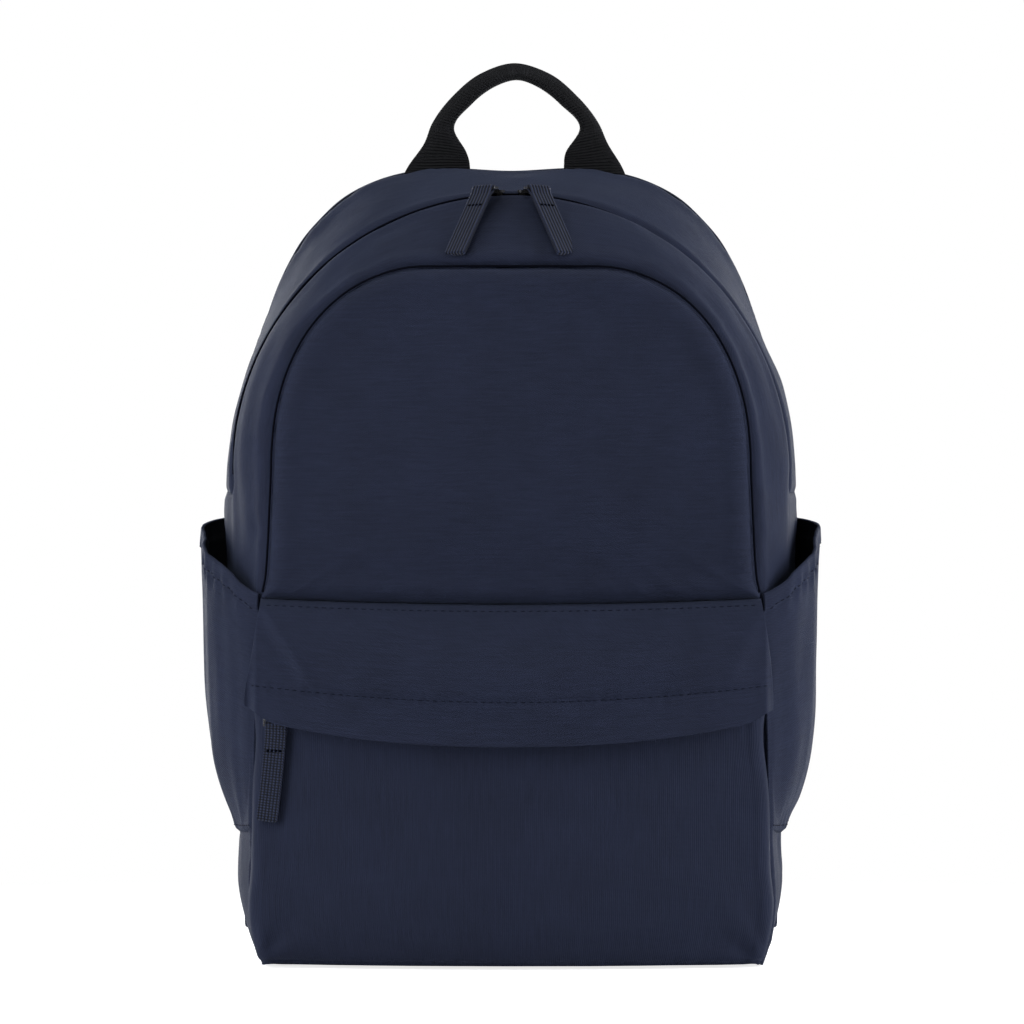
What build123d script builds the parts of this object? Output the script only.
"""School backpack: arched main compartment with a two-slider zip, zipped front pocket under a storm
flap, open side pockets, webbing grab handle, padded back and two adjustable shoulder straps.

Frame: millimetres, +Z up, -Y is the front of the bag, -X is its left side, origin at the middle of
the base's underside.
"""

from build123d import *
import math
import os

os.makedirs("parts", exist_ok=True)

SIDES = (("left", -1), ("right", 1))

# ---------------------------------------------------------------- driving dimensions
Y_FRONT = -45.0                 # seam between front panel and gusset
Y_BAND_FRONT, Y_BAND_REAR = -12.0, 2.0     # the gusset is level in Y here, for the sliders
Y_ZIP = (Y_BAND_FRONT + Y_BAND_REAR) / 2   # zip centre line
Y_BACK = 60.0                   # seam between gusset and back panel
R_ZIP = 141.0                   # radius of the arch at the zip
Z_ARCH = 247.0                  # height of the arch's centre
WALL_T = 2.5                    # lined gusset
FRONT_T = 2.5                   # front panel
BASE_T = 2.5
Z_SPLIT = 250.0                 # side panels end and the zip gusset starts
Z_LID = 252.0                   # the opened front folds about this height
Z_LID_EDGE = Z_LID + 1.5        # lower edge of the lid's rigid pieces
Z_FOLD_LOW = 224.0              # the front fabric creases between here and the fold line
SLOT = 1.8                      # half of the slit between the gusset edges over the zip
TAPE_GAP = 1.3                  # half of the gap between the two halves of a zip
FIT = 0.1                       # clearance round the folding fabric


def arch_point(degrees):
    """Point of the zip arch, by its angle above level."""
    angle = math.radians(degrees)
    return (R_ZIP * math.cos(angle), Z_ARCH + R_ZIP * math.sin(angle))


# Right half of each seam, as (x, z): a polyline from the base through bulge to spring, an arc
# through via to corner, then an arc over the middle at height top.
FRONT_SEAM = dict(base_half=126.5, bulge=(131.5, 64.0), spring=(121.5, 255.0),
                  via=(108.0, 312.5), corner=(72.0, 345.0), top=352.5)
ZIP_SEAM = dict(base_half=128.0, bulge=(136.0, 40.0), spring=(R_ZIP, Z_ARCH),
                via=arch_point(29), corner=arch_point(58), top=Z_ARCH + R_ZIP)
BACK_SEAM = dict(base_half=128.0, bulge=(137.0, 40.0), spring=(144.0, 237.0),
                 via=(126.5, 320.0), corner=(80.0, 388.0), top=400.0)


# ---------------------------------------------------------------- shared helpers
def save(part, name):
    part.label = name
    export_step(part, f"parts/{name}.step")


def mirrored(point):
    return (-point[0], point[1])


def wall_plane(y):
    """Upright sketch plane at depth y, with axes X and Z; extrusions run forwards, to -Y."""
    return Plane(origin=(0, y, 0), x_dir=(1, 0, 0), z_dir=(0, -1, 0))


def seam_face(seam, y, inset=0.0):
    """Closed arch face at depth y."""
    bulge, spring, via, corner = (seam[key] for key in ("bulge", "spring", "via", "corner"))
    half = seam["base_half"]
    with BuildSketch(wall_plane(y)) as face:
        with BuildLine():
            Polyline(mirrored(spring), mirrored(bulge), (-half, 0), (half, 0), bulge, spring)
            ThreePointArc(spring, via, corner)
            ThreePointArc(corner, (0, seam["top"]), mirrored(corner))
            ThreePointArc(mirrored(corner), mirrored(via), mirrored(spring))
        make_face()
        if inset:
            offset(amount=-inset, kind=Kind.INTERSECTION)
    return face.sketch.faces()[0]


def envelope(inset):
    """Solid inside the gusset, at an inset from its outer face."""
    stations = ((FRONT_SEAM, Y_FRONT), (ZIP_SEAM, Y_BAND_FRONT),
                (ZIP_SEAM, Y_BAND_REAR), (BACK_SEAM, Y_BACK))
    with BuildPart(mode=Mode.PRIVATE) as solid:
        for (seam0, y0), (seam1, y1) in zip(stations, stations[1:]):
            loft(sections=[seam_face(seam0, y0, inset), seam_face(seam1, y1, inset)], ruled=True)
    return solid.part


def slab(seam, y_rear, thickness, inset=0.0, hole_inset=None):
    """Flat plate of a seam's outline, running forwards from y_rear; a ring if hole_inset is set."""
    with BuildPart(mode=Mode.PRIVATE) as plate:
        with BuildSketch(wall_plane(y_rear)):
            add(seam_face(seam, y_rear, inset))
            if hole_inset:
                add(seam_face(seam, y_rear, hole_inset), mode=Mode.SUBTRACT)
        extrude(amount=thickness)
    return plate.part


def keep_box(z_range, x_range=(-170, 170), y_range=(-60, 80)):
    """Cut the part being built down to a box; the default box spans the whole bag in X and Y."""
    (x0, x1), (y0, y1), (z0, z1) = x_range, y_range, z_range
    with Locations(((x0 + x1) / 2, (y0 + y1) / 2, (z0 + z1) / 2)):
        Box(x1 - x0, y1 - y0, z1 - z0, mode=Mode.INTERSECT)


def clipped(part, z_range, **ranges):
    """Portion of a part within a box."""
    with BuildPart() as piece:
        add(part)
        keep_box(z_range, **ranges)
    return piece.part


def cross_prism(points):
    """Prism right across the bag, from a closed (y, z) profile."""
    with BuildPart(mode=Mode.PRIVATE) as prism:
        with BuildSketch(Plane.YZ.offset(-200)):
            with BuildLine():
                Polyline(*points, close=True)
            make_face()
        extrude(amount=400)
    return prism.part


# ---------------------------------------------------------------- gusset and front panels
Z_ABOVE = 420                           # clear above the bag
Y_AHEAD = Y_FRONT - 5                   # clear ahead of the front panel
CREASE_REAR = (Y_ZIP - SLOT, Z_SPLIT - 3.5)
CREASE_FRONT = (Y_AHEAD, Z_FOLD_LOW - 3)

with BuildPart() as gusset_tube:
    add(envelope(0.0))
    add(envelope(WALL_T), mode=Mode.SUBTRACT)
TUBE = gusset_tube.part
FRONT_PLATE = slab(FRONT_SEAM, Y_FRONT, FRONT_T)

save(clipped(TUBE, (-1, BASE_T)), "base_panel")

# the rigid side panels stop short of the fabric that creases ahead of the zip
for side, sx in SIDES:
    with BuildPart() as side_panel:
        add(TUBE)
        keep_box((BASE_T, Z_SPLIT), x_range=sorted((0, sx * 170)))
        add(cross_prism([(Y_ZIP - SLOT, Z_SPLIT + 5), CREASE_REAR, CREASE_FRONT,
                         (Y_AHEAD, Z_SPLIT + 5)]), mode=Mode.SUBTRACT)
    save(side_panel.part, f"side_panel_{side}")

save(clipped(TUBE, (Z_SPLIT, Z_ABOVE), y_range=(Y_ZIP + SLOT, 80)), "top_gusset_rear")
save(clipped(TUBE, (Z_LID_EDGE, Z_ABOVE), y_range=(-60, Y_ZIP - SLOT)), "top_gusset_front")
save(clipped(FRONT_PLATE, (Z_LID_EDGE, Z_ABOVE)), "front_panel_upper")
save(clipped(FRONT_PLATE, (-1, Z_FOLD_LOW)), "front_inner_panel")

# fabric that folds over on itself when the front is opened
with BuildPart() as front_fold:
    add(TUBE)
    add(FRONT_PLATE)
    keep_box((Z_FOLD_LOW - 5, Z_LID_EDGE - FIT), y_range=(-60, Y_ZIP - SLOT - FIT))
    add(cross_prism([(20, 200), (20, CREASE_REAR[1] + FIT), (CREASE_REAR[0], CREASE_REAR[1] + FIT),
                     (Y_AHEAD, CREASE_FRONT[1] + FIT), (Y_AHEAD, 200)]), mode=Mode.SUBTRACT)
    # clear the front inner panel
    with Locations((0, Y_FRONT, Z_FOLD_LOW - 20)):
        Box(400, 8, 40 + 2 * FIT, mode=Mode.SUBTRACT)
save(front_fold.part, "front_fold")

# ---------------------------------------------------------------- back: lining, foam, outer cover
LINING_T = 1.0
Y_FOAM_REAR = Y_BACK + 5.0
COVER_T = 5.0

save(slab(BACK_SEAM, Y_BACK + LINING_T, LINING_T), "back_lining")
save(slab(BACK_SEAM, Y_FOAM_REAR, 3.9, inset=9.0), "back_foam")

with BuildPart() as back_panel:
    add(slab(BACK_SEAM, Y_FOAM_REAR + COVER_T, COVER_T))
    add(slab(BACK_SEAM, Y_FOAM_REAR + 0.1, 4.0, hole_inset=8.5))    # rim round the foam
    fillet(back_panel.faces().sort_by(Axis.Y)[-1].edges(), radius=2.5)
save(back_panel.part, "back_panel")

# ---------------------------------------------------------------- inside the main compartment
# stiff board lying on the base
with BuildPart() as base_board:
    with Locations((0, 7, BASE_T + 1.2)):
        Box(232, 92, 2.0)
    fillet(base_board.edges().filter_by(Axis.Z), radius=12)
save(base_board.part, "base_board")

# padded document sleeve inside the back
SLEEVE_Y, SLEEVE_Z = 51.5, 124
SLEEVE_SIZE = 232
with BuildPart() as laptop_sleeve:
    with Locations((0, SLEEVE_Y, SLEEVE_Z)):
        Box(SLEEVE_SIZE, 4.0, SLEEVE_SIZE)
    fillet(laptop_sleeve.edges().filter_by(Axis.Y), radius=14)
    with Locations((0, SLEEVE_Y, SLEEVE_Z + SLEEVE_SIZE / 2)):
        Box(204, 5.2, 4.0)              # bound upper edge
save(laptop_sleeve.part, "laptop_sleeve")

# bound seam allowances: name, seam, rear face y, z range
BINDINGS = (
    ("seam_binding_rear", BACK_SEAM, Y_BACK - 0.2, (6.0, Z_ABOVE)),
    ("seam_binding_front", FRONT_SEAM, Y_FRONT + 3.4, (6.0, Z_FOLD_LOW - 4)),
    ("lid_binding", FRONT_SEAM, Y_FRONT + 3.4, (Z_LID + 3, Z_ABOVE)),
)
for name, seam, y_rear, z_range in BINDINGS:
    save(clipped(slab(seam, y_rear, 3.0, inset=4.6, hole_inset=8.2), z_range), name)


# ---------------------------------------------------------------- main zip
def arch_band(r_outer, r_inner, y_front, y_rear, z_end):
    """Arch strip round the zip arch's centre, with straight legs down to z_end."""
    with BuildPart(mode=Mode.PRIVATE) as band:
        with BuildSketch(wall_plane(y_rear)):
            with Locations((0, Z_ARCH)):
                Circle(r_outer)
            with Locations((0, Z_ARCH - 20)):
                Rectangle(2 * r_outer, 40)
            with Locations((0, Z_ARCH)):
                Circle(r_inner, mode=Mode.SUBTRACT)
            with Locations((0, Z_ARCH - 100)):
                Rectangle(2 * r_inner, 200, mode=Mode.SUBTRACT)
            with Locations((0, z_end - 200)):
                Rectangle(400, 400, mode=Mode.SUBTRACT)
        extrude(amount=y_rear - y_front)
    return band.part


R_TAPE_OUT, R_TAPE_IN = R_ZIP - WALL_T - 0.5, R_ZIP - WALL_T - 1.3
R_COIL_OUT, R_COIL_IN = R_TAPE_IN - 0.05, R_TAPE_IN - 2.0
COIL_W = 2.2
Z_ZIP_END = 236.0
Y_HALF_REAR, Y_HALF_FRONT = Y_ZIP + TAPE_GAP, Y_ZIP - TAPE_GAP      # facing edges of the halves

# name, outer and inner radius, front and rear y, lower end z
ARCH_BANDS = (
    ("main_zip_tape_rear", R_TAPE_OUT, R_TAPE_IN, Y_HALF_REAR, Y_BAND_REAR, Z_ZIP_END),
    ("main_zip_tape_front", R_TAPE_OUT, R_TAPE_IN, Y_BAND_FRONT, Y_HALF_FRONT, Z_LID_EDGE),
    ("main_zip_coil_rear", R_COIL_OUT, R_COIL_IN, Y_HALF_REAR, Y_HALF_REAR + COIL_W,
     Z_ZIP_END + 3),
    ("main_zip_coil_front", R_COIL_OUT, R_COIL_IN, Y_HALF_FRONT - COIL_W, Y_HALF_FRONT,
     Z_LID_EDGE),
)
for name, *band_sizes in ARCH_BANDS:
    save(arch_band(*band_sizes), name)

with BuildPart() as main_zip_stops:
    for sx in (-1, 1):
        with Locations((sx * (R_COIL_IN + 0.9), Y_HALF_REAR + COIL_W / 2, Z_ZIP_END + 1.4)):
            Box(1.7, COIL_W, 2.6)
save(main_zip_stops.part, "main_zip_stops")

# ---------------------------------------------------------------- slider, ring and pull, for any zip
RING_T = 1.0
TAB_W, TAB_T = 10.0, 2.2


def slider_body(plane_at, plates, blocks, discs):
    """Slider stacked outwards from the zip; plane_at(height) is the sketch plane at a height.

    plates: (height, thickness, length, width, corner radius), centred
    blocks: (height, thickness, centre, length, width)
    discs: (height, thickness, centre, radius)
    """
    with BuildPart() as body:
        for height, thickness, length, width, corner in plates:
            with BuildSketch(plane_at(height)):
                RectangleRounded(length, width, corner)
            extrude(amount=thickness)
        for height, thickness, centre, length, width in blocks:
            with BuildSketch(plane_at(height)):
                with Locations(centre):
                    Rectangle(length, width)
            extrude(amount=thickness)
        for height, thickness, centre, radius in discs:
            with BuildSketch(plane_at(height)):
                with Locations(centre):
                    Circle(radius)
            extrude(amount=thickness)
    return body.part


def pull_ring(plane, outer_half, window_half):
    """Flat ring that turns on the stud at the plane's origin; the outlines are right halves."""
    with BuildPart() as ring:
        with BuildSketch(plane):
            for half, mode in ((outer_half, Mode.ADD), (window_half, Mode.SUBTRACT)):
                with BuildLine():
                    Polyline(*half, *map(mirrored, reversed(half)), close=True)
                make_face(mode=mode)
            Circle(1.35, mode=Mode.SUBTRACT)
        extrude(amount=RING_T)
    return ring.part


def bar_plane(ring_plane, outer_half, window_half, drop=0.0):
    """Plane on the middle of the ring's far bar, tipped down by drop (radians)."""
    reach = (outer_half[-1][1] + window_half[-1][1]) / 2
    return Plane(
        origin=ring_plane.origin + ring_plane.y_dir * reach + ring_plane.z_dir * (RING_T / 2),
        x_dir=ring_plane.x_dir,
        z_dir=ring_plane.z_dir * math.cos(drop) - ring_plane.y_dir * math.sin(drop),
    )


def pull_tab(bar, length, gap, eye_length):
    """Tab running along -y of the bar plane, starting gap away, with an eye round the bar."""
    eye_plane = Plane(origin=bar.origin - bar.x_dir * (eye_length / 2),
                      x_dir=bar.y_dir, z_dir=bar.x_dir)
    with BuildPart() as tab:
        with BuildSketch(bar.offset(-TAB_T / 2)):
            with Locations((0, -gap - length / 2)):
                RectangleRounded(TAB_W, length, 1.2)
        extrude(amount=TAB_T)
        with BuildSketch(eye_plane):
            Circle(1.7)
            with Locations((-2.6, 0)):
                Rectangle(2.4, 1.8)
            Circle(0.9, mode=Mode.SUBTRACT)
        extrude(amount=eye_length)
    return tab.part


# ---------------------------------------------------------------- main sliders
SLIDER_ANGLE = 3.86      # degrees from the top at which each slider stands when the zip is shut
SLIDER_L, SLIDER_W = 13.0, 8.4
STUD_Y = -3.2            # the ring turns on a stud near the slider's front edge
RING_HEIGHT = 2.6        # above the zip arch
LEAN = math.radians(31.0)       # each pull leans outwards
DROP = math.radians(44.5)       # how far below level the pull hangs
COIL_DEPTH = R_ZIP - R_COIL_IN
MAIN_RING = [(2.2, 2.1), (6.8, -4.8), (6.8, -8.4)]
MAIN_WINDOW = [(1.2, -2.3), (5.6, -5.2), (5.6, -7.4)]


def slider_plane(sx, height=0.0):
    """At a main slider: x along the arch towards +X, y to the back, z outwards."""
    angle = math.radians(sx * SLIDER_ANGLE)
    radius = R_ZIP + height
    return Plane(
        origin=(radius * math.sin(angle), Y_ZIP, Z_ARCH + radius * math.cos(angle)),
        x_dir=(math.cos(angle), 0, -math.sin(angle)),
        z_dir=(math.sin(angle), 0, math.cos(angle)),
    )


for side, sx in SIDES:
    ring_top = RING_HEIGHT + RING_T
    slider = slider_body(
        lambda height: slider_plane(sx, height),
        plates=((0.5, 1.3, SLIDER_L, SLIDER_W, 2.6),
                (-COIL_DEPTH - 1.7, 1.2, SLIDER_L, SLIDER_W - 1.4, 2.2)),
        # post between the plates, then the bridge over the top plate
        blocks=((-COIL_DEPTH - 1.0, COIL_DEPTH + 2.0, (-sx * 3.8, 0), 3.0, 1.9),
                (1.7, 0.7, (0, 1.7), 7.0, 2.2)),
        # stud and its cap
        discs=((1.5, ring_top + 0.4 - 1.5, (0, STUD_Y), 1.05),
               (ring_top + 0.2, 0.6, (0, STUD_Y), 1.9)),
    )
    save(slider, f"main_slider_{side}")

    base = slider_plane(sx)
    ring_plane = Plane(
        origin=base.origin + base.y_dir * STUD_Y + base.z_dir * RING_HEIGHT,
        x_dir=base.x_dir * math.cos(sx * LEAN) + base.y_dir * math.sin(sx * LEAN),
        z_dir=base.z_dir,
    )
    save(pull_ring(ring_plane, MAIN_RING, MAIN_WINDOW), f"slider_ring_{side}")
    bar = bar_plane(ring_plane, MAIN_RING, MAIN_WINDOW, DROP)
    save(pull_tab(bar, length=42.5, gap=3.1, eye_length=TAB_W - 0.4), f"pull_tab_{side}")

# ---------------------------------------------------------------- front pocket
R_POCKET = 420.0                        # plan radius of the pocket's zip
Y_POCKET = -74.0                        # furthest forward point of that arc
Y_POCKET_CENTRE = Y_POCKET + R_POCKET
Z_POCKET_ZIP = 131.0
Z_POCKET_TOP = 184.0                    # seam between the pocket and the upper front panel
POCKET_HALF = 129.0                     # half-width at the side seams
POCKET_ARC = 125.0                      # half-width over which the pocket follows the zip's arc
Y_SEAT = Y_FRONT - FRONT_T - 0.15       # just ahead of the inner panel
Y_ARC_END = Y_POCKET_CENTRE - math.sqrt(R_POCKET**2 - POCKET_ARC**2)
ZIP_OPENING = 2.6                       # half-height of the opening in the fabric at the zip


def pocket_plan(z, y_mid, y_arc, inset):
    """Plan at height z: bowed front, short curved ends, straight at the seat."""
    half, arc_half = POCKET_HALF - inset, POCKET_ARC - inset * 0.6
    y_mid, y_arc = y_mid + inset, y_arc + inset * 0.9
    x_via = arc_half + (half - arc_half) * 0.78
    y_via = y_arc + (Y_SEAT - y_arc) * 0.42
    with BuildSketch(Plane.XY.offset(z)) as plan:
        with BuildLine():
            ThreePointArc((-arc_half, y_arc), (0, y_mid), (arc_half, y_arc))
            ThreePointArc((arc_half, y_arc), (x_via, y_via), (half, Y_SEAT))
            Line((half, Y_SEAT), (-half, Y_SEAT))
            ThreePointArc((-half, Y_SEAT), (-x_via, y_via), (-arc_half, y_arc))
        make_face()
    return plan.sketch.faces()[0]


def pocket_shell(sections, thickness=2.0):
    """Lofted fabric through (z, y_mid, y_arc) sections, open at the seat, top and bottom."""
    with BuildPart(mode=Mode.PRIVATE) as shell:
        for inset, mode in ((0.0, Mode.ADD), (thickness, Mode.SUBTRACT)):
            for lower, upper in zip(sections, sections[1:]):
                loft(sections=[pocket_plan(*lower, inset), pocket_plan(*upper, inset)],
                     ruled=True, mode=mode)
    return shell.part


POCKET_FOOT = (Y_POCKET + 3.0, Y_ARC_END + 2.0)     # y_mid, y_arc at the base
save(pocket_shell([
    (Z_POCKET_TOP, Y_SEAT - 5.5, Y_SEAT - 4.0),
    (Z_POCKET_ZIP + 10.0, Y_POCKET, Y_ARC_END),
    (Z_POCKET_ZIP + ZIP_OPENING, Y_POCKET, Y_ARC_END),
]), "front_pocket_top_panel")
save(pocket_shell([
    (Z_POCKET_ZIP - ZIP_OPENING, Y_POCKET, Y_ARC_END),
    (40.0, Y_POCKET - 0.5, Y_ARC_END),
    (BASE_T + 0.1, *POCKET_FOOT),
]), "front_pocket_panel")

with BuildPart() as front_pocket_base:
    with BuildSketch():
        add(pocket_plan(0.0, *POCKET_FOOT, 0.0))
    extrude(amount=BASE_T)
save(front_pocket_base.part, "front_pocket_base")


# ---------------------------------------------------------------- front pocket zip and flap
def pocket_band(r_inner, r_outer, z0, z1, half):
    """Curved strip between two radii about the pocket zip's axis, |x| up to half."""
    with BuildPart(mode=Mode.PRIVATE) as band:
        with BuildSketch(Plane.XY.offset(z0)):
            with Locations((0, Y_POCKET_CENTRE)):
                Circle(r_outer)
                Circle(r_inner, mode=Mode.SUBTRACT)
        extrude(amount=z1 - z0)
        keep_box((z0 - 1, z1 + 1), x_range=(-half, half), y_range=(Y_POCKET - 40, Y_POCKET + 60))
    return band.part


POCKET_ZIP_HALF = 122
R_PTAPE_IN, R_PTAPE_OUT = R_POCKET - 2.95, R_POCKET - 2.15
R_PCOIL_IN, R_PCOIL_OUT = R_PTAPE_IN - 2.0, R_PTAPE_IN - 0.05
Z_UPPER, Z_LOWER = Z_POCKET_ZIP + TAPE_GAP, Z_POCKET_ZIP - TAPE_GAP     # facing edges
PCOIL_H = 1.9

save(pocket_band(R_PTAPE_IN, R_PTAPE_OUT, Z_UPPER, Z_POCKET_ZIP + 8.5, POCKET_ZIP_HALF),
     "pocket_zip_tape_upper")
save(pocket_band(R_PTAPE_IN, R_PTAPE_OUT, Z_POCKET_ZIP - 9.0, Z_LOWER, POCKET_ZIP_HALF),
     "pocket_zip_tape_lower")
with BuildPart() as pocket_zip_coil:
    for z_low in (Z_UPPER, Z_LOWER - PCOIL_H):
        add(pocket_band(R_PCOIL_IN, R_PCOIL_OUT, z_low, z_low + PCOIL_H, POCKET_ZIP_HALF))
save(pocket_zip_coil.part, "pocket_zip_coil")

with BuildPart() as pocket_zip_stops:
    for sx in (-1, 1):
        x = sx * 123.6
        y = Y_POCKET_CENTRE - math.sqrt((R_PCOIL_IN + 1.0) ** 2 - x * x)
        with Locations((x, y, Z_POCKET_ZIP)):
            Box(1.6, 1.8, 2.2)
save(pocket_zip_stops.part, "pocket_zip_stops")

# storm flap: a bowed band in front of the zip, its lower edge lowest in the middle
FLAP_HALF = 126
FLAP_LOW = 111.0                        # lower edge in the middle
FLAP_END = FLAP_LOW + 16.0              # lower edge at the ends
with BuildPart() as front_pocket_flap:
    add(pocket_band(R_POCKET + 5.2, R_POCKET + 6.8, FLAP_LOW - 1, 133.2, FLAP_HALF))
    with BuildSketch(wall_plane(Y_POCKET - 30)):
        with BuildLine():
            ThreePointArc((-FLAP_HALF, FLAP_END), (0, FLAP_LOW), (FLAP_HALF, FLAP_END))
            Polyline((FLAP_HALF, FLAP_END), (FLAP_HALF, FLAP_LOW - 5),
                     (-FLAP_HALF, FLAP_LOW - 5), (-FLAP_HALF, FLAP_END))
        make_face()
    extrude(amount=-80, mode=Mode.SUBTRACT)
save(front_pocket_flap.part, "front_pocket_flap")

# ---------------------------------------------------------------- front pocket slider
PSLIDER_ANGLE = -math.asin(117.0 / R_POCKET)    # about the arc's axis: left end of the zip
PSTUD_Y = -3.6                                  # stud below the zip line
POCKET_RING = [(2.2, 2.1), (6.8, -3.4), (6.8, -6.8)]
POCKET_WINDOW = [(1.2, -2.2), (5.6, -4.1), (5.6, -5.8)]


def on_arc(outward, z=Z_POCKET_ZIP):
    """At the pocket slider, outward from the zip arc: x along the zip, y up, z outwards."""
    radius = R_POCKET + outward
    sin_a, cos_a = math.sin(PSLIDER_ANGLE), math.cos(PSLIDER_ANGLE)
    return Plane(origin=(radius * sin_a, Y_POCKET_CENTRE - radius * cos_a, z),
                 x_dir=(cos_a, sin_a, 0), z_dir=(sin_a, -cos_a, 0))


pocket_slider = slider_body(
    on_arc,
    plates=((0.45, 1.2, 12.0, 8.0, 2.4), (-6.5, 1.2, 12.0, 7.0, 2.0)),
    # post between the plates, then the lip under the stud
    blocks=((-5.5, 6.2, (3.4, 0), 2.8, 1.8), (0.45, 1.2, (0, -4.2), 4.4, 2.6)),
    # stud and its cap
    discs=((1.5, 2.2, (0, PSTUD_Y), 1.05), (3.4, 0.6, (0, PSTUD_Y), 1.8)),
)
save(pocket_slider, "pocket_slider")

ring_plane = on_arc(2.2, Z_POCKET_ZIP + PSTUD_Y)
save(pull_ring(ring_plane, POCKET_RING, POCKET_WINDOW), "pocket_slider_ring")
bar = bar_plane(ring_plane, POCKET_RING, POCKET_WINDOW)
save(pull_tab(bar, length=45.0, gap=3.2, eye_length=TAB_W), "pocket_pull_tab")

# ---------------------------------------------------------------- side pockets
Y_MOUTH_FRONT, Y_MOUTH_MID, Y_MOUTH_REAR = -44, 6, 58
# height, then the sheet's outer |x| at the front seam, halfway back and at the back seam
POCKET_CUTS = (
    (62.0, 133.8, 139.8, 140.2),
    (72.0, 134.0, 143.0, 141.2),
    (92.0, 134.2, 149.5, 143.2),
    (122.0, 134.2, 154.5, 145.2),
    (160.0, 134.2, 156.0, 146.2),
    (232.0, 134.2, 156.0, 146.2),
)
SHEET_T = 1.5
# the mouth rises from the front seam to the back seam, as (y, z)
MOUTH_CUT = [(-60, 180), (-44, 186), (0, 205), (58, 221), (80, 223), (80, 300), (-60, 300)]
HEM_LOWER = [(-44, 186.2), (0, 205.2), (58, 221.2)]
HEM_H = 3.2
HEM_PROFILE = HEM_LOWER + [(y, z + HEM_H) for y, z in reversed(HEM_LOWER)]


def bowed_strip(sx, z, outer, inner):
    """Plan of a bowed strip at height z, from its outer and inner |x| at front, middle, rear."""
    y_stations = (Y_MOUTH_FRONT, Y_MOUTH_MID, Y_MOUTH_REAR)
    outer_points = [(sx * x, y) for x, y in zip(outer, y_stations)]
    inner_points = [(sx * x, y) for x, y in zip(inner, y_stations)]
    with BuildSketch(Plane.XY.offset(z)) as strip:
        with BuildLine():
            ThreePointArc(*outer_points)
            Line(outer_points[-1], inner_points[-1])
            ThreePointArc(*reversed(inner_points))
            Line(inner_points[0], outer_points[0])
        make_face()
    return strip.sketch.faces()[0]


def pocket_cut(sx, z, *outer):
    return bowed_strip(sx, z, outer, [x - SHEET_T for x in outer])


for side, sx in SIDES:
    with BuildPart() as side_pocket:
        for lower, upper in zip(POCKET_CUTS, POCKET_CUTS[1:]):
            loft(sections=[pocket_cut(sx, *lower), pocket_cut(sx, *upper)], ruled=True)
        # ledge closing the bottom against the side panel
        z_bottom, x_front, x_mid, x_rear = POCKET_CUTS[0]
        with BuildSketch(Plane.XY.offset(z_bottom)):
            with BuildLine():
                ThreePointArc((sx * x_front, -44), (sx * x_mid, 6), (sx * x_rear, 58))
                Polyline((sx * x_rear, 58), (sx * 138.4, 58), (sx * 137.3, 2),
                         (sx * 137.3, -12), (sx * 132.4, -44), (sx * x_front, -44))
            make_face()
        extrude(amount=2.0)
        add(cross_prism(MOUTH_CUT), mode=Mode.SUBTRACT)
    save(side_pocket.part, f"side_pocket_{side}")

    with BuildPart() as hem:
        with BuildSketch(Plane.XY.offset(150)):
            add(bowed_strip(sx, 150, (134.8, 156.6, 146.8), (132.0, 153.6, 144.2)))
        extrude(amount=100)
        add(cross_prism(HEM_PROFILE), mode=Mode.INTERSECT)
    save(hem.part, f"side_pocket_hem_{side}")

# ---------------------------------------------------------------- grab handle
Y_HANDLE = 59.0
HANDLE_T = 3.2
Z_HANDLE_FOOT = 402.5
# (x, z) along the outer edge, foot to foot, and along the inner edge between its corners
HANDLE_OUTER = [(-53, Z_HANDLE_FOOT), (-45, 413), (-40.5, 424), (-30, 438), (-15, 450),
                (2, 455.5), (19, 450), (34, 438), (45, 424), (50, 413), (57, Z_HANDLE_FOOT)]
HANDLE_INNER = [(36, 420.5), (25, 434), (13, 443), (3, 446.6), (-8, 443), (-20, 434),
                (-30, 420.5)]
with BuildPart() as grab_handle:
    with BuildSketch(wall_plane(Y_HANDLE + HANDLE_T / 2)):
        with BuildLine():
            Spline(*HANDLE_OUTER)
            Polyline(HANDLE_OUTER[-1], (27, Z_HANDLE_FOOT), (27.5, 409), HANDLE_INNER[0])
            Spline(*HANDLE_INNER)
            Polyline(HANDLE_INNER[-1], (-22.5, 409), (-21, Z_HANDLE_FOOT), HANDLE_OUTER[0])
        make_face()
    extrude(amount=HANDLE_T)
save(grab_handle.part, "grab_handle")

# ---------------------------------------------------------------- shoulder straps
STRAP_W, STRAP_T = 56.0, 9.0
WEB_W, WEB_T = 25.0, 1.6
LOOP_W = 24.0

# Side view of a strap: (distance up the line between the anchors, stand-off from it)
PAD = [(326, 21.0), (300, 31.0), (262, 39.0), (215, 43.0), (170, 41.0), (128, 34.0)]
PAD_CAVITY = [(320, 23.6), *PAD[1:-1], (134, 35.3)]
PAD_FOAM = [(319.8, 23.7), *PAD[1:-1], (134.2, 35.3)]
ROOT = [(352, 7.2), (345, 10.0), (337, 14.6), (330, 18.6)]
WEBBING = [(96, 26.5), (70, 20.0), (44, 13.0), (26, 8.6)]
TAIL = [(99, 34.0), (86, 32.4), (60, 28.5), (30, 25.0)]

# webbing loop round the lock's upper bar: offset from the lock's plane, thickness, y, height
LOCK_LOOP = (
    (2.1, 1.2, 10.0, 9.6),
    (-3.3, 1.2, 10.0, 9.6),
    (-3.3, 6.6, 6.6, 1.6),
    (-3.3, 6.6, 13.6, 2.4),
)

with BuildPart() as strap_yoke:
    with BuildSketch(wall_plane(Y_BACK + 13.6)) as yoke_sketch:
        with BuildLine():
            Polyline((-78, 350), (78, 350), (70, 386), (-70, 386), close=True)
        make_face()
        fillet(yoke_sketch.vertices(), radius=6)
    extrude(amount=1.7)
save(strap_yoke.part, "strap_yoke")


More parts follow.
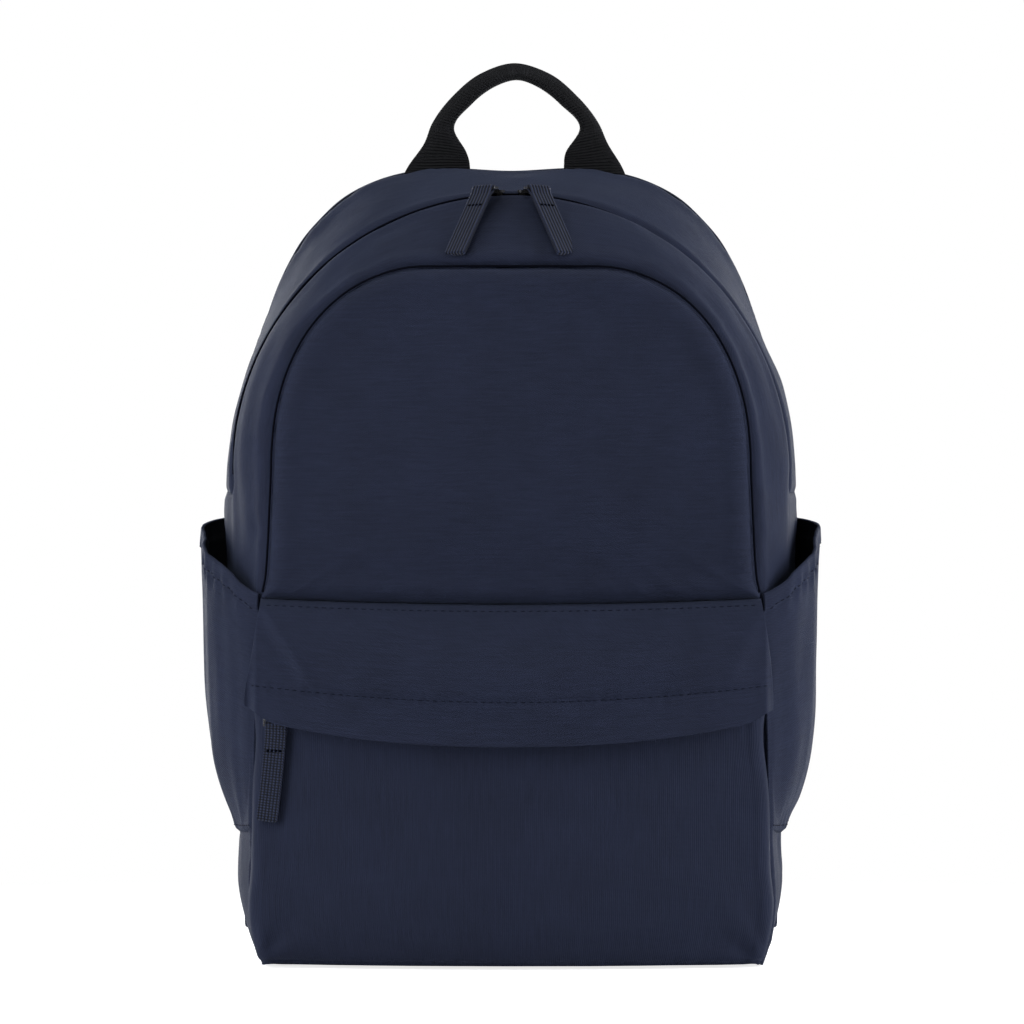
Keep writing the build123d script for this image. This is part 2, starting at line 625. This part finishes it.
def strap_plane(sx):
    """Plane through a strap's anchors: x from the lower to the upper one, y off the back."""
    top_anchor, low_anchor = Vector(sx * 42, 71.5, 372), Vector(sx * 121, 71.5, 26)
    along = (top_anchor - low_anchor).normalized()
    return Plane(origin=low_anchor, x_dir=along, z_dir=along.cross(Vector(0, 1, 0)))


def ribbon(plane, points, thickness, width):
    """Strip along a curve drawn in a plane, with its width shared to both sides of the plane."""
    last = len(points) - 1
    upper, lower = [], []
    for i, (x, y) in enumerate(points):
        x_before, y_before = points[max(i - 1, 0)]
        x_after, y_after = points[min(i + 1, last)]
        dx, dy = x_after - x_before, y_after - y_before
        length = math.hypot(dx, dy)
        shift_x, shift_y = -dy / length * thickness / 2, dx / length * thickness / 2
        upper.append((x + shift_x, y + shift_y))
        lower.append((x - shift_x, y - shift_y))
    with BuildPart(mode=Mode.PRIVATE) as strip:
        with BuildSketch(plane):
            with BuildLine():
                Spline(*upper)
                Line(upper[-1], lower[-1])
                Spline(*reversed(lower))
                Line(lower[0], upper[0])
            make_face()
        extrude(amount=width / 2, both=True)
    return strip.part


def lock_plane(strap):
    """Plane midway between the webbing and the pad's end, with y pointing up to the pad."""
    (x0, y0), (x1, y1) = WEBBING[0], PAD[-1]
    length = math.hypot(x1 - x0, y1 - y0)
    along_x, along_y = (x1 - x0) / length, (y1 - y0) / length
    return Plane(
        origin=strap.origin + strap.x_dir * ((x0 + x1) / 2) + strap.y_dir * ((y0 + y1) / 2),
        x_dir=strap.z_dir,
        z_dir=strap.x_dir * -along_y + strap.y_dir * along_x,
    )


for side, sx in SIDES:
    strap = strap_plane(sx)
    with BuildPart() as strap_cover:
        add(ribbon(strap, PAD, STRAP_T, STRAP_W))
        cross_edges = strap_cover.edges().filter_by(Axis((0, 0, 0), tuple(strap.z_dir)))
        fillet(cross_edges, radius=2.0)
        add(ribbon(strap, PAD_CAVITY, STRAP_T - 2.6, STRAP_W - 6.0), mode=Mode.SUBTRACT)
    save(strap_cover.part, f"strap_cover_{side}")
    save(ribbon(strap, PAD_FOAM, STRAP_T - 2.9, STRAP_W - 6.4), f"strap_foam_{side}")
    save(ribbon(strap, ROOT, 4.0, 48.0), f"strap_root_{side}")
    save(ribbon(strap, WEBBING, WEB_T, WEB_W), f"adjuster_webbing_{side}")
    save(ribbon(strap, TAIL, WEB_T, WEB_W), f"adjuster_tail_{side}")

    # ladder lock: frame with three slots
    lock = lock_plane(strap)
    with BuildPart() as ladder_lock:
        with BuildSketch(lock.offset(-1.8)):
            RectangleRounded(34.0, 24.0, 3.0)
            with Locations((0, 7.0), (0, 0.0), (0, -7.0)):
                Rectangle(27.0, 4.0, mode=Mode.SUBTRACT)
        extrude(amount=3.6)
    save(ladder_lock.part, f"ladder_lock_{side}")

    with BuildPart() as lock_loop:
        for height, thickness, y, size_y in LOCK_LOOP:
            with BuildSketch(lock.offset(height)):
                with Locations((0, y)):
                    Rectangle(LOOP_W, size_y)
            extrude(amount=thickness)
    save(lock_loop.part, f"lock_loop_{side}")

    # tapered tab sewn into the lower corner, holding the webbing's end
    with BuildPart() as strap_anchor:
        with BuildSketch(wall_plane(Y_BACK + 13.4)):
            with BuildLine():
                Polyline((sx * 136, 12), (sx * 137.5, 62), (sx * 108, 40), (sx * 108, 24),
                         close=True)
            make_face()
        extrude(amount=3.2)
    save(strap_anchor.part, f"strap_anchor_{side}")
